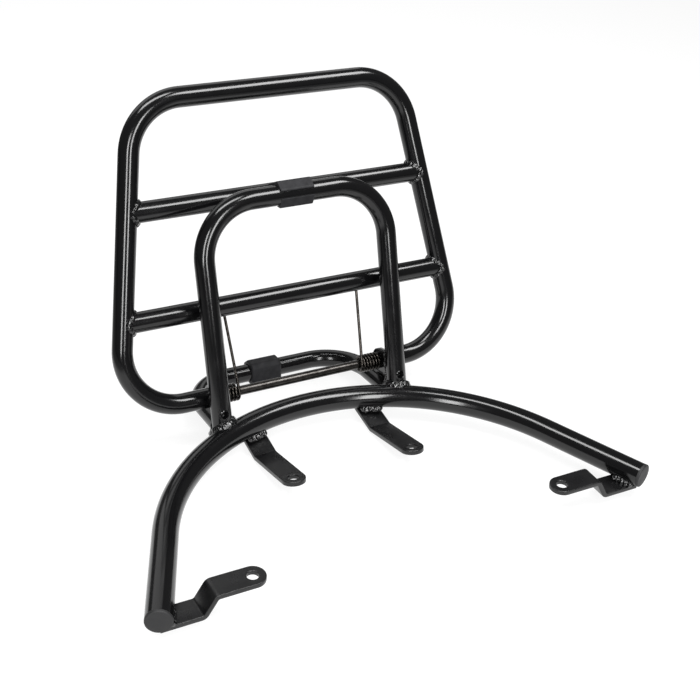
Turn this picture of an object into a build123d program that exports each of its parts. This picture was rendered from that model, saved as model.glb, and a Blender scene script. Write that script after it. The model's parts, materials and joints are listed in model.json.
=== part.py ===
"""Folding rear luggage rack of welded steel tube for a scooter or motorcycle, in millimetres.

X runs across the rack, Y to the rear and Z up. The origin lies midway between the two front bolt holes,
on the underside of their tabs, which seats on the scooter. The flap stands upright.
"""

import math
import os

from build123d import *

# Tube stock, closed at every end and so drawn solid, and how finely its bends are laid out
arch_tube_d = 19.0
frame_tube_d = 16.0
loop_tube_d = 15.0
bend_sag = 0.75  # a bend's chords stand at most this far inside its arc

# Base arch: one wide bend with a straight leg on each side, open to the front
arch_radius = 188.0
arch_half_angle = 66.5
arch_leg = 89.0
cap_thickness = 2.5
cap_chamfer = 0.8

# Upright hoop, its feet coped onto the back of the arch
hoop_half_width = 83.0
hoop_height = 190.5
hoop_bend_r = 55.0
hoop_lean_angle = 18.0
hoop_setback = 8.3  # the feet stand this far behind the arch's centre line
vent_d = 6.5
vent_depth = 3.0
vent_rise = 17.2  # from the arch's plane, up the leg

# Support loop behind the arch, which carries the folded flap
loop_inset = 3.0  # its arms stand this far inside the hoop's legs
loop_reach = 97.5  # from the arch's centre line to the rear run
loop_bend_r = 41.0
loop_drop_angle = 5.7  # degrees downwards to the rear

# Hinge: an ear on each leg, and a rod through both that turns with the flap
hinge_setback = 23.0  # behind the hoop's plane
hinge_rise = 25.0  # up the hoop's legs
rod_d = 8.0
rod_clearance = 0.1
ear_r = 10.5
ear_thickness = 5.0
ear_inset = 2.0  # the ear's middle stands this far inside the leg's centre line
side_play = 0.4  # between an ear and the flap's end disc
disc_thickness = 4.5
weld_gap = 0.05
cope_gap = 0.1

# Folding flap: a trapezoid of bent tube with two crossbars
flap_lean_angle = 19.0
flap_half_width = 161.0  # at the hinge axis
flap_top_half_width = 119.0
flap_height = 247.0
flap_bend_r = 47.0
low_bar_rise = 74.5  # above the hinge axis

# Rubber stop on the hoop, and rubber buffer on the support loop
stop_length = 30.0
stop_wall = 1.2
stop_lip = 5.2  # rubber below the hoop tube
stop_drop = 4.0  # the upper crossbar bears this far below the middle of the hoop tube
stop_front_chamfer = 5.0
stop_rear_chamfer = 3.0
stop_bevel = 0.8
buffer_length = 29.0
buffer_size = 20.4
buffer_chamfer = 5.0
buffer_bevel = 1.5
buffer_shift = -6.0  # the buffer sits to the left of the middle
rest_gap = 0.3  # between rubber and crossbar, and between a spring and its seat

# Torsion springs on the rod, one beside each ear
wire_d = 2.2
coil_r = 6.6
coil_pitch = 2.5
coil_full_turns = 6
coil_chords_per_turn = 10
spring_gap = 0.4  # between the last turn and the ear
long_leg_splay = 3.3
long_leg_clearance = 0.5
short_leg_reach = 19.4  # behind the hinge axis, where it bears on the loop's arm

# Mounting tabs of bent flat bar
tab_width = 20.0
tab_thickness = 4.0
tab_bend_r = 4.0
tab_hole_d = 9.0
front_tab_inset = 11.0  # from the arch's end, along its leg
front_tab_overlap = 3.0  # past the leg's centre line
front_tab_run = 29.5
front_tab_step = 9.0
front_tab_rise = 15.0
front_hole_reach = 30.5  # from the upper bend
rear_tab_x = 54.5
rear_tab_root = 6.0  # the bar starts this far behind the arch's centre line
rear_tab_bend = 25.0  # in front of the arch's centre line
rear_tab_drop = 5.5
rear_tab_bite = 0.6  # how far the bar is coped to seat on the round tube
rear_hole_reach = 52.5  # in front of the bend
rear_tab_climb = 12.5  # from the bend to the hole

SIDES = {"left": -1, "right": 1}
ALONG_X = (1, 0, 0)


def on_side(point, sign):
    """A point of the right-hand side (sign 1) or its mirror image on the left (sign -1)."""
    return Vector(sign * point.X, point.Y, point.Z)


def leaning_plane(y, z, lean):
    """Plane across the rack through (y, z), facing forward, that leans back by some degrees."""
    return Plane((0, y, z), ALONG_X, Vector(0, -1, 0).rotate(Axis.X, -lean))


def arch_y(x):
    """Y of the arch's bend at some distance from the middle plane."""
    return bend_centre.Y + math.sqrt(arch_radius**2 - x**2)


def chord_points(line):
    """Points along a centre line: the ends of its straight runs, and short chords round its bends."""
    points = [line @ 0]
    done = 0.0
    for edge in line.order_edges():
        chords = 1
        if edge.geom_type == GeomType.CIRCLE:
            chord_angle = 2 * math.acos(1 - bend_sag / edge.radius)
            chords = math.ceil(edge.length / edge.radius / chord_angle)
        for chord in range(1, chords + 1):
            points.append(line @ ((done + edge.length * chord / chords) / line.length))
        done += edge.length
    return points


def mitred_bar(points, section):
    """Bar of a section along straight chords, mitred where they meet."""
    with BuildPart() as bar:
        with BuildLine():
            Polyline(*points)
        with BuildSketch(Plane(points[0], z_dir=points[1] - points[0])):
            add(section)
        sweep(transition=Transition.RIGHT)
    return bar.part


def round_bar(line, diameter):
    """Solid round bar along a centre line."""
    with BuildSketch() as section:
        Circle(diameter / 2)
    return mitred_bar(chord_points(line.wire()), section.sketch)


def tangent_angle(point, centre, radius, sense):
    """Angle on a coil where the straight run to a point leaves it."""
    across = Vector(0, point.Y - centre.Y, point.Z - centre.Z)
    bearing = math.atan2(across.Z, across.Y)
    return bearing + sense * math.acos(radius / across.length)


def write_piece(builder, name):
    """Label a finished piece and write its STEP file."""
    builder.part.label = name
    export_step(builder.part, f"parts/{name}.step")


os.makedirs("parts", exist_ok=True)

# The arch's plane and bend, set back from the front bolt holes
arch_angle = math.radians(arch_half_angle)
leg_way = Vector(math.cos(arch_angle), -math.sin(arch_angle))
leg_to_tab = arch_leg - front_tab_inset
bar_to_arch = (arch_tube_d + tab_thickness) / 2
arch_z = bar_to_arch + tab_thickness / 2 - front_tab_rise
bend_end = Vector(arch_radius * math.sin(arch_angle), -leg_to_tab * leg_way.Y, arch_z)
bend_centre = Vector(0, bend_end.Y - arch_radius * math.cos(arch_angle), arch_z)
arch_end = bend_end + leg_way * arch_leg

# Reference planes and axes
hoop_plane = leaning_plane(arch_y(hoop_half_width) + hoop_setback, arch_z, hoop_lean_angle)
hinge = hoop_plane.from_local_coords(Vector(0, hinge_rise, -hinge_setback))
flap_plane = leaning_plane(hinge.Y, hinge.Z, flap_lean_angle)
loop_half_width = hoop_half_width - loop_inset
loop_normal = Vector(0, 0, 1).rotate(Axis.X, -loop_drop_angle)
loop_plane = Plane((0, arch_y(loop_half_width), arch_z), ALONG_X, loop_normal)
ear_middle = hoop_half_width - ear_inset
ear_inner = ear_middle - ear_thickness / 2
disc_face = ear_middle + ear_thickness / 2 + side_play
flap_end = disc_face + disc_thickness

# Centre lines of the bent tubes
with BuildLine() as arch_line:
    Line(arch_end, bend_end)
    CenterArc(bend_centre, arch_radius, 90 - arch_half_angle, 2 * arch_half_angle)
    Line(on_side(bend_end, -1), on_side(arch_end, -1))

with BuildLine(hoop_plane) as hoop_line:
    FilletPolyline(
        (-hoop_half_width, 0),
        (-hoop_half_width, hoop_height),
        (hoop_half_width, hoop_height),
        (hoop_half_width, 0),
        radius=hoop_bend_r,
    )

with BuildLine(loop_plane) as loop_line:
    FilletPolyline(
        (-loop_half_width, 0),
        (-loop_half_width, loop_reach),
        (loop_half_width, loop_reach),
        (loop_half_width, 0),
        radius=loop_bend_r,
    )

with BuildLine(flap_plane) as flap_line:
    FilletPolyline(
        (-flap_end, 0),
        (-flap_half_width, 0),
        (-flap_top_half_width, flap_height),
        (flap_top_half_width, flap_height),
        (flap_half_width, 0),
        (flap_end, 0),
        radius=flap_bend_r,
    )

# Bent tubes before coping, which also cut the copes of what is welded to them
arch_blank = round_bar(arch_line, arch_tube_d)
hoop_blank = round_bar(hoop_line, frame_tube_d)
loop_blank = round_bar(loop_line, loop_tube_d)
flap_cope = round_bar(flap_line, frame_tube_d + 2 * cope_gap)

# Base arch
with BuildPart() as arch_tube:
    add(arch_blank)
write_piece(arch_tube, "arch_tube")

# Round steel discs that close the arch's ends
for side, sign in SIDES.items():
    cap_seat = Plane(on_side(arch_end, sign), z_dir=on_side(leg_way, sign))
    with BuildPart() as end_cap:
        with BuildSketch(cap_seat):
            Circle(arch_tube_d / 2)
        extrude(amount=cap_thickness)
        chamfer(end_cap.faces().sort_by(Axis(cap_seat.origin, cap_seat.z_dir))[-1].edges(), cap_chamfer)
    write_piece(end_cap, f"arch_end_cap_{side}")

# Support loop, coped onto the back of the arch
with BuildPart() as support_loop:
    add(loop_blank)
    add(arch_blank, mode=Mode.SUBTRACT)
write_piece(support_loop, "support_loop")

# Upright hoop, coped over the arch and the loop's arms, with a vent hole in front of each foot
with BuildPart() as hoop_tube:
    add(hoop_blank)
    add(arch_blank, mode=Mode.SUBTRACT)
    add(loop_blank, mode=Mode.SUBTRACT)
    with BuildSketch(hoop_plane.offset(frame_tube_d / 2)):
        with Locations((-hoop_half_width, vent_rise), (hoop_half_width, vent_rise)):
            Circle(vent_d / 2)
    extrude(amount=-vent_depth, mode=Mode.SUBTRACT)
write_piece(hoop_tube, "hoop_tube")

# Hinge ears, coped onto the back of the hoop's legs
hinge_profile = Plane(hinge, x_dir=hoop_plane.z_dir, z_dir=ALONG_X)
for side, sign in SIDES.items():
    with BuildPart() as hinge_ear:
        with BuildSketch(hinge_profile.offset(sign * ear_middle)):
            Circle(ear_r)
            with Locations((hinge_setback / 2, 0)):
                Rectangle(hinge_setback, 2 * ear_r)
            Circle(rod_d / 2 + rod_clearance, mode=Mode.SUBTRACT)
        extrude(amount=ear_thickness / 2, both=True)
        add(hoop_blank, mode=Mode.SUBTRACT)
        add(loop_blank, mode=Mode.SUBTRACT)
    write_piece(hinge_ear, f"hinge_ear_{side}")

# Flap
with BuildPart() as flap_tube:
    add(round_bar(flap_line, frame_tube_d))
write_piece(flap_tube, "flap_tube")

# Crossbars, coped between the flap's sides
high_bar_rise = hoop_height - hinge_rise - stop_drop


def crossbar_points(rise):
    """Ends of a crossbar on the centre lines of the flap's sides."""
    half = flap_half_width + (flap_top_half_width - flap_half_width) * rise / flap_height
    return [flap_plane.from_local_coords(Vector(sign * half, rise, 0)) for sign in SIDES.values()]


low_bar = flap_plane.from_local_coords(Vector(0, low_bar_rise, 0))
high_bar = flap_plane.from_local_coords(Vector(0, high_bar_rise, 0))
with BuildSketch() as tube_section:
    Circle(frame_tube_d / 2)

with BuildPart() as upper_crossbar:
    add(mitred_bar(crossbar_points(high_bar_rise), tube_section.sketch))
    add(flap_cope, mode=Mode.SUBTRACT)
write_piece(upper_crossbar, "flap_crossbar_upper")

# Spring geometry: each long leg runs from the front of its coil into a hole in the lower crossbar
coil_outer = ear_inner - spring_gap - wire_d / 2
short_tip_y = hinge.Y + short_leg_reach
arm_x = loop_half_width - coil_outer
arm_top = math.sqrt((loop_tube_d / 2) ** 2 - arm_x**2) / math.cos(math.radians(loop_drop_angle))
arm_z = arch_z - (short_tip_y - arch_y(loop_half_width)) * math.tan(math.radians(loop_drop_angle))
short_tip = Vector(0, short_tip_y, arm_z + arm_top + wire_d / 2 + rest_gap)
coil_start = tangent_angle(low_bar, hinge, coil_r, 1)
coil_end = tangent_angle(short_tip, hinge, coil_r, -1)
coil_sweep = (coil_end - coil_start) % (2 * math.pi) + coil_full_turns * 2 * math.pi
coil_inner = coil_outer - coil_pitch * coil_sweep / (2 * math.pi)
long_tip_x = coil_inner + long_leg_splay


def coil_point(sign, share):
    """Point on a coil's centre line, from its inner end (0) to its outer end (1)."""
    angle = coil_start + coil_sweep * share
    x = coil_inner + (coil_outer - coil_inner) * share
    return Vector(sign * x, hinge.Y + coil_r * math.cos(angle), hinge.Z + coil_r * math.sin(angle))


with BuildPart() as lower_crossbar:
    add(mitred_bar(crossbar_points(low_bar_rise), tube_section.sketch))
    add(flap_cope, mode=Mode.SUBTRACT)
    for sign in SIDES.values():
        long_tip = Vector(sign * long_tip_x, low_bar.Y, low_bar.Z)
        with BuildSketch(Plane(long_tip, z_dir=coil_point(sign, 0) - long_tip)):
            Circle(wire_d / 2 + long_leg_clearance)
        extrude(amount=frame_tube_d, mode=Mode.SUBTRACT)
write_piece(lower_crossbar, "flap_crossbar_lower")

# Torsion springs: long leg, close-wound coil and short leg in one length of wire
with BuildSketch() as wire_section:
    RegularPolygon(wire_d / 2, 6)
coil_chords = round(coil_chords_per_turn * coil_sweep / (2 * math.pi))
for side, sign in SIDES.items():
    long_tip = Vector(sign * long_tip_x, low_bar.Y, low_bar.Z)
    coil = [coil_point(sign, chord / coil_chords) for chord in range(coil_chords + 1)]
    with BuildPart() as torsion_spring:
        add(mitred_bar([long_tip, *coil, short_tip + Vector(sign * coil_outer, 0, 0)], wire_section.sketch))
    write_piece(torsion_spring, f"torsion_spring_{side}")

# Round steel discs that close the flap's ends and carry the rod
for side, sign in SIDES.items():
    with BuildPart() as end_disc:
        with BuildSketch(Plane((sign * disc_face, hinge.Y, hinge.Z), z_dir=(sign, 0, 0))):
            Circle(frame_tube_d / 2)
            Circle(rod_d / 2 + weld_gap, mode=Mode.SUBTRACT)
        extrude(amount=disc_thickness)
    write_piece(end_disc, f"flap_end_disc_{side}")

# Hinge rod, from one end of the flap's tube to the other
with BuildPart() as hinge_rod:
    with BuildSketch(Plane(hinge, z_dir=ALONG_X)):
        Circle(rod_d / 2)
    extrude(amount=flap_end, both=True)
write_piece(hinge_rod, "hinge_rod")

# Rubber stop round the top of the hoop, deep enough behind to meet the upper crossbar
hoop_top = hoop_plane.from_local_coords(Vector(0, hoop_height, 0))
stop_rear = -hoop_plane.to_local_coords(high_bar).Z - frame_tube_d / 2 - rest_gap
stop_front = frame_tube_d / 2 + stop_wall
stop_below = frame_tube_d / 2 + stop_lip
with BuildPart() as hoop_stop:
    with BuildSketch(Plane(hoop_top, x_dir=-hoop_plane.z_dir, z_dir=ALONG_X)):
        with Locations(((stop_rear - stop_front) / 2, (stop_front - stop_below) / 2)):
            Rectangle(stop_rear + stop_front, stop_front + stop_below)
        front_corners = vertices().group_by(Axis.X)[0]
        rear_corners = vertices().group_by(Axis.X)[-1]
        chamfer(front_corners, stop_front_chamfer)
        chamfer(rear_corners, stop_rear_chamfer)
        Circle(frame_tube_d / 2 + weld_gap, mode=Mode.SUBTRACT)
    extrude(amount=stop_length / 2, both=True)
    for end_face in (hoop_stop.faces().sort_by(Axis.X)[0], hoop_stop.faces().sort_by(Axis.X)[-1]):
        chamfer(end_face.outer_wire().edges(), stop_bevel)
write_piece(hoop_stop, "hoop_rubber_stop")

# Rubber buffer round the rear run of the support loop, on which the lower crossbar lands
loop_rear = loop_plane.from_local_coords(Vector(buffer_shift, loop_reach, 0))
with BuildPart() as loop_buffer:
    with BuildSketch(Plane(loop_rear, x_dir=loop_plane.y_dir, z_dir=ALONG_X)):
        Rectangle(buffer_size, buffer_size)
        chamfer(vertices(), buffer_chamfer)
        Circle(loop_tube_d / 2 + weld_gap, mode=Mode.SUBTRACT)
    extrude(amount=buffer_length / 2, both=True)
    for end_face in (loop_buffer.faces().sort_by(Axis.X)[0], loop_buffer.faces().sort_by(Axis.X)[-1]):
        chamfer(end_face.outer_wire().edges(), buffer_bevel)
write_piece(loop_buffer, "loop_rubber_buffer")

# Front mounting tabs: flat bar under each end of the arch, joggled up to its hole
front_root = bend_end + leg_way * leg_to_tab
front_bend_x = front_root.X - front_tab_run
front_upper_x = front_bend_x - front_tab_step
front_hole_x = front_upper_x - front_hole_reach
low_z = arch_z - bar_to_arch
high_z = low_z + front_tab_rise
for side, sign in SIDES.items():
    with BuildPart() as front_tab:
        with BuildSketch(Plane.XZ):
            with BuildLine():
                FilletPolyline(
                    (sign * (front_root.X + front_tab_overlap), low_z),
                    (sign * front_bend_x, low_z),
                    (sign * front_upper_x, high_z),
                    (sign * (front_hole_x - tab_width / 2), high_z),
                    radius=tab_bend_r,
                )
            trace(line_width=tab_thickness)
        extrude(amount=tab_width / 2, both=True)
        with BuildSketch():
            with Locations((sign * front_hole_x, 0)):
                Circle(tab_width / 2)
            with Locations((sign * (front_hole_x + arch_radius / 2), 0)):
                Rectangle(arch_radius, tab_width)
        extrude(amount=arch_radius, both=True, mode=Mode.INTERSECT)
        with Locations((sign * front_hole_x, 0, high_z)):
            Hole(tab_hole_d / 2)
    write_piece(front_tab, f"front_mount_tab_{side}")

# Rear mounting tabs: flat bar coped under the arch's bend, bent once and rising to its hole
rear_y = arch_y(rear_tab_x)
rear_root_z = arch_z - bar_to_arch + rear_tab_bite
rear_bend = Vector(0, rear_y - rear_tab_bend, rear_root_z - rear_tab_drop)
rear_hole = rear_bend + Vector(0, -rear_hole_reach, rear_tab_climb)
rear_run = (rear_hole - rear_bend).normalized()
rear_normal = rear_run.cross(Vector(ALONG_X))
rear_tip = rear_hole + rear_run * (tab_width / 2)
for side, sign in SIDES.items():
    with BuildPart() as rear_tab:
        with BuildSketch(Plane.YZ.offset(sign * rear_tab_x)):
            with BuildLine():
                FilletPolyline(
                    (rear_y + rear_tab_root, rear_root_z),
                    (rear_bend.Y, rear_bend.Z),
                    (rear_tip.Y, rear_tip.Z),
                    radius=tab_bend_r,
                )
            trace(line_width=tab_thickness)
        extrude(amount=tab_width / 2, both=True)
        hole_plane = Plane((sign * rear_tab_x, rear_hole.Y, rear_hole.Z), ALONG_X, rear_normal)
        with BuildSketch(hole_plane):
            Circle(tab_width / 2)
            with Locations((0, arch_radius / 2)):
                Rectangle(tab_width, arch_radius)
        extrude(amount=arch_radius, both=True, mode=Mode.INTERSECT)
        with Locations(hole_plane):
            Hole(tab_hole_d / 2)
        add(arch_blank, mode=Mode.SUBTRACT)
    write_piece(rear_tab, f"rear_mount_tab_{side}")
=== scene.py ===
"""Finished surfaces, coats and a studio stage for a folding luggage rack of welded tube, in metres.

X runs across the rack, Y to the rear and Z up. Every piece is a numpy surface laid on the frame's own places.
"""

import json
import math

import bmesh
import bpy
import numpy as np
from mathutils import Matrix, Vector


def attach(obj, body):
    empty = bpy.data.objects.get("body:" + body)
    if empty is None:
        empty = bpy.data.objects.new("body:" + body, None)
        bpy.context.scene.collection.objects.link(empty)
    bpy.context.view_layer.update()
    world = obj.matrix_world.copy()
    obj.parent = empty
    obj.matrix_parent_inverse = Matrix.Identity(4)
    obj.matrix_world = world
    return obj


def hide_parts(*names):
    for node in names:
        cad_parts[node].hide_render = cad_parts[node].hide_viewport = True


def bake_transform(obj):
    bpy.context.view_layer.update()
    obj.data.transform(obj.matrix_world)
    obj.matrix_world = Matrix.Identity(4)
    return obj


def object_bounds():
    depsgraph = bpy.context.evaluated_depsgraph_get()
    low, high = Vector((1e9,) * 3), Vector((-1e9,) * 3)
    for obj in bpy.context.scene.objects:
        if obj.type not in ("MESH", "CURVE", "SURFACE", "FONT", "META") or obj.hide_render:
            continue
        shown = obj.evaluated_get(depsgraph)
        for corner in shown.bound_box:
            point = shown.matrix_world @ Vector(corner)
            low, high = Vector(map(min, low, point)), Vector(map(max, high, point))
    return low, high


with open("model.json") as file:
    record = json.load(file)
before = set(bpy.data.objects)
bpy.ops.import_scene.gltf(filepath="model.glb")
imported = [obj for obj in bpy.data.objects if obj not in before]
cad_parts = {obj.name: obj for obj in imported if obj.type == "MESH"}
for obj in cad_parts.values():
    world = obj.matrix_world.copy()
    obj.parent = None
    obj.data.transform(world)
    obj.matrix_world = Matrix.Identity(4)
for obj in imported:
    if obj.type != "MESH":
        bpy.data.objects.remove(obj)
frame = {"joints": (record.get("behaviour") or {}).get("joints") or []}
CAD_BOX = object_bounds()

bl_info = {
    "name": "Folding luggage rack",
    "version": (1, 0, 0),
    "blender": (4, 5, 0),
    "location": "View3D > Sidebar > Rack",
    "description": "Builds the finished surfaces of a folding luggage rack and its studio stage",
    "category": "Object",
}

MM = 0.001
SIDES = {"left": -1.0, "right": 1.0}
ACROSS = np.array((1.0, 0.0, 0.0))
REARWARD = np.array((0.0, 1.0, 0.0))
UPWARD = np.array((0.0, 0.0, 1.0))
HINGE = np.array(frame["joints"][0]["pos_m"])
FLOOR_Z = CAD_BOX[0][2]

# How finely surfaces are laid out: steps along a piece, points round it and rows across it
STATION_STEP = 3 * MM
FINE_STEP = 0.5 * MM
ROUND_POINTS = 56
LEG_POINTS = 84
LEG_CROWDING = 0.8
JOINT_POINTS = 72
BEAD_POINTS = 14
BEAD_ROWS_LEAST = 24
RUBBER_POINTS = 180
RUBBER_ROWS = 9
RUBBER_EDGE_POINTS = 7
WIRE_POINTS = 16
COIL_POINTS = 40
EDGE_POINTS = 5
HOLE_POINTS = 21
TIP_POINTS = 10
VENT_ROWS = 29
BAR_ROWS = 9
ROD_ROWS = 61

# Steps of a search for a surface, points that count as one, a share that counts as none, and a sharp edge
HALVINGS = 40
MERGE_DISTANCE = 0.002 * MM
SLACK = 1e-4
SHARP_ANGLE = math.radians(38)

# How a weld bead waves, in shares of its half width: pools along it, lumps round it, and a flattened crown
POOL_SWELL = 0.16
POOL_DRIFT = 0.6
LUMP_SWELL = 0.16
LUMPS_PER_POOL = (0.64, 0.37)
CROWN_LOSS = 0.3
# Slower waves along it: half waves on the whole bead, height, and shift for each step of the seed
BEAD_WAVES = ((4, 0.09, 1.7), (10, 0.07, 0.6))


# Properties

def length(name, millimetres, description):
    """A length property, given in millimetres and kept in metres."""
    return bpy.props.FloatProperty(
        name=name, description=description, default=millimetres * MM, unit="LENGTH", precision=4
    )


def angle(name, degrees, description):
    """An angle property, given in degrees and kept in radians."""
    return bpy.props.FloatProperty(
        name=name, description=description, default=math.radians(degrees), unit="ROTATION"
    )


def linear(code):
    """Linear RGB of an sRGB hex colour such as #0c0c0d."""
    shares = np.array([int(code[i:i + 2], 16) for i in (1, 3, 5)]) / 255
    return tuple(np.where(shares <= 0.04045, shares / 12.92, ((shares + 0.055) / 1.055) ** 2.4))


def colour(name, code, description):
    """A colour property, given as sRGB hex and kept as linear RGB."""
    return bpy.props.FloatVectorProperty(
        name=name, description=description, default=linear(code), subtype="COLOR", size=3, min=0, max=1
    )


class RackSizes(bpy.types.PropertyGroup):
    """Sizes of the rack's tubes, plates, springs and rubber."""

    arch_tube: length("Arch tube", 19.0, "Outside diameter of the base arch")
    frame_tube: length("Frame tube", 16.0, "Outside diameter of the hoop, the flap and its crossbars")
    loop_tube: length("Loop tube", 15.0, "Outside diameter of the support loop")
    coat: length("Coat", 0.5, "How much further out the finished surface of a tube lies than its bare tube")
    arch_radius: length("Arch radius", 188.0, "Radius of the arch's wide bend")
    arch_half_angle: angle("Arch half angle", 66.5, "Half the angle that the arch's bend turns through")
    arch_leg: length("Arch leg", 89.0, "Straight run at each end of the arch")
    cap_thickness: length("Cap thickness", 2.5, "Thickness of the discs that close the arch")
    cap_round: length("Cap rounding", 1.0, "Rounding of the cap's rim")
    hoop_half_width: length("Hoop half width", 83.0, "From the middle to the centre line of a hoop leg")
    hoop_height: length("Hoop height", 187.5, "From the arch's plane to the top of the hoop")
    hoop_bend: length("Hoop bend", 46.0, "Centre line radius of the hoop's bends")
    hoop_lean: angle("Hoop lean", 18.0, "How far the hoop leans back")
    hoop_setback: length("Hoop setback", 8.3, "From the arch's centre line to the hoop's feet")
    vent: length("Vent", 6.5, "Diameter of the vent hole in front of each foot")
    vent_depth: length("Vent depth", 4.5, "Depth of the vent hole that shows")
    vent_rim: length("Vent rim", 0.25, "How far the coat stands up round the vent hole")
    vent_rise: length("Vent rise", 17.2, "From the arch's plane up the leg to the vent")
    loop_inset: length("Loop inset", 3.0, "How far the loop's arms stand inside the hoop's legs")
    loop_reach: length("Loop reach", 97.5, "From the arch's centre line to the loop's rear run")
    loop_bend: length("Loop bend", 41.0, "Centre line radius of the loop's bends")
    loop_drop: angle("Loop drop", 5.7, "How far the loop slopes down to the rear")
    hinge_setback: length("Hinge setback", 23.0, "From the hoop's plane back to the hinge axis")
    hinge_rise: length("Hinge rise", 25.0, "From the arch's plane up the leg to the hinge axis")
    rod: length("Hinge rod", 8.0, "Diameter of the hinge rod")
    rod_clearance: length("Rod clearance", 0.1, "Room round the rod in each ear")
    ear_radius: length("Ear radius", 10.5, "Radius of a hinge ear round the rod")
    ear_thickness: length("Ear thickness", 5.0, "Thickness of a hinge ear")
    ear_inset: length("Ear inset", 2.0, "From a leg's centre line in to the middle of its ear")
    side_play: length("Side play", 0.4, "Between an ear and the flap's end disc")
    disc_thickness: length("Disc thickness", 4.5, "Thickness of the flap's end discs")
    flap_lean: angle("Flap lean", 19.0, "How far the flap leans back")
    flap_half_width: length("Flap half width", 161.0, "Half width of the flap at the hinge axis")
    flap_top_half_width: length("Flap top half width", 119.0, "Half width of the flap at its top run")
    flap_height: length("Flap height", 247.0, "From the hinge axis to the flap's top run")
    flap_bend: length("Flap bend", 47.0, "Centre line radius of the flap's bends")
    low_bar_rise: length("Lower crossbar rise", 74.5, "From the hinge axis to the lower crossbar")
    stop_length: length("Stop length", 30.0, "Length of the rubber stop on the hoop")
    stop_front_wall: length("Stop front wall", 0.8, "Rubber in front of the hoop's tube")
    stop_top_wall: length("Stop top wall", 2.6, "Rubber above the hoop's tube")
    stop_shoulder_wall: length("Stop shoulder wall", 1.7, "Rubber outside the tube at the stop's upper slant")
    stop_chin_wall: length("Stop chin wall", 0.4, "Rubber outside the tube at the stop's lower slant")
    stop_lip: length("Stop lip", 2.0, "Rubber below the hoop's tube")
    stop_drop: length("Stop drop", 1.0, "How far below the tube's middle the upper crossbar bears")
    stop_top_slope: angle("Stop top slope", 12.0, "How far the stop's top slopes down to the rear")
    stop_shoulder_slope: angle("Stop shoulder slope", 45.0, "How far the stop's upper slant leans forward")
    stop_chin_slope: angle("Stop chin slope", 35.0, "How far the stop's lower slant leans back")
    stop_mouth_top: angle("Stop mouth top", 23.0, "From the front up to the stop's upper lip")
    stop_mouth_low: angle("Stop mouth low", 14.0, "From the front down to the stop's lower lip")
    stop_rear_rise: angle("Stop rear rise", 12.0, "How far the stop's underside rises to the rear")
    stop_round: length("Stop rounding", 0.6, "Rounding of the stop's end edges")
    buffer_length: length("Buffer length", 29.0, "Length of the rubber buffer on the loop")
    buffer_size: length("Buffer size", 20.4, "Width of the buffer, and its height but for its raised top")
    buffer_raise: length("Buffer raise", 0.8, "How much higher the buffer's top is than its other faces")
    buffer_bevel: length("Buffer bevel", 12.2, "From the loop's centre line to the buffer's bevelled corners")
    buffer_seat: length("Buffer seat", 10.8, "From the loop's centre line to the folded crossbar's slant")
    buffer_seat_slope: angle("Buffer seat slope", 53.7, "From the rear up to the way that the slant faces")
    buffer_round: length("Buffer rounding", 1.8, "Rounding of the buffer's end edges")
    buffer_shift: length("Buffer shift", -6.0, "From the middle to the middle of the buffer")
    rest_gap: length("Rest gap", 0.3, "Between rubber and crossbar, and between a spring and its seat")
    wire: length("Spring wire", 2.5, "Diameter of the spring wire")
    coil_radius: length("Coil radius", 6.6, "Centre line radius of the coils")
    coil_pitch: length("Coil pitch", 2.9, "From one turn to the next")
    coil_turns: bpy.props.IntProperty(name="Coil turns", description="Full turns in a coil", default=6, min=1)
    spring_gap: length("Spring gap", 0.4, "Between a coil and its ear")
    long_leg_splay: length("Long leg splay", 3.9, "How far the long leg spreads out to its hole")
    short_leg_reach: length("Short leg reach", 19.4, "From the hinge axis back to the short leg's tip")
    tab_width: length("Tab width", 20.0, "Width of the mounting tabs' flat bar")
    tab_thickness: length("Tab thickness", 4.0, "Thickness of the mounting tabs' flat bar")
    tab_bend: length("Tab bend", 4.0, "Middle radius of the tabs' bends")
    tab_hole: length("Tab hole", 9.0, "Diameter of the bolt holes")
    plate_round: length("Plate rounding", 0.6, "Rounding of the edges of tabs and ears")
    front_tab_inset: length("Front tab inset", 11.0, "From the arch's end along its leg to the tab")
    front_tab_overlap: length("Front tab overlap", 3.0, "How far the tab runs past the leg's centre line")
    front_tab_run: length("Front tab run", 29.5, "From the leg's centre line to the lower bend")
    front_tab_step: length("Front tab step", 9.0, "From the lower bend to the upper one, across the rack")
    front_tab_rise: length("Front tab rise", 15.0, "From the tab's lower flat to its upper one")
    front_hole_reach: length("Front hole reach", 30.5, "From the upper bend to the bolt hole")
    rear_tab_x: length("Rear tab place", 54.5, "From the middle to the middle of a rear tab")
    rear_tab_root: length("Rear tab root", 6.0, "How far behind the arch's centre line the tab starts")
    rear_tab_bend: length("Rear tab bend", 25.0, "From the arch's centre line forward to the bend")
    rear_tab_drop: length("Rear tab drop", 5.5, "How far the tab drops to its bend")
    rear_tab_bite: length("Rear tab bite", 0.6, "How far the tab is coped to seat on the tube")
    rear_hole_reach: length("Rear hole reach", 52.5, "From the bend forward to the bolt hole")
    rear_tab_climb: length("Rear tab climb", 12.5, "How far the tab rises from the bend to the hole")
    foot_bead: length("Hoop foot bead", 3.8, "Half width of the weld round a hoop leg's foot")
    bar_bead: length("Crossbar bead", 2.4, "Half width of the weld round a crossbar's end")
    arm_bead: length("Loop arm bead", 3.0, "Half width of the weld round an arm of the loop")
    tab_bead: length("Tab bead", 3.6, "Half width of the welds between the tabs and the arch")
    ear_bead: length("Ear bead", 2.6, "Half width of the welds beside a hinge ear")
    pool: length("Weld pool", 3.4, "From one ripple of a weld bead to the next")


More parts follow.
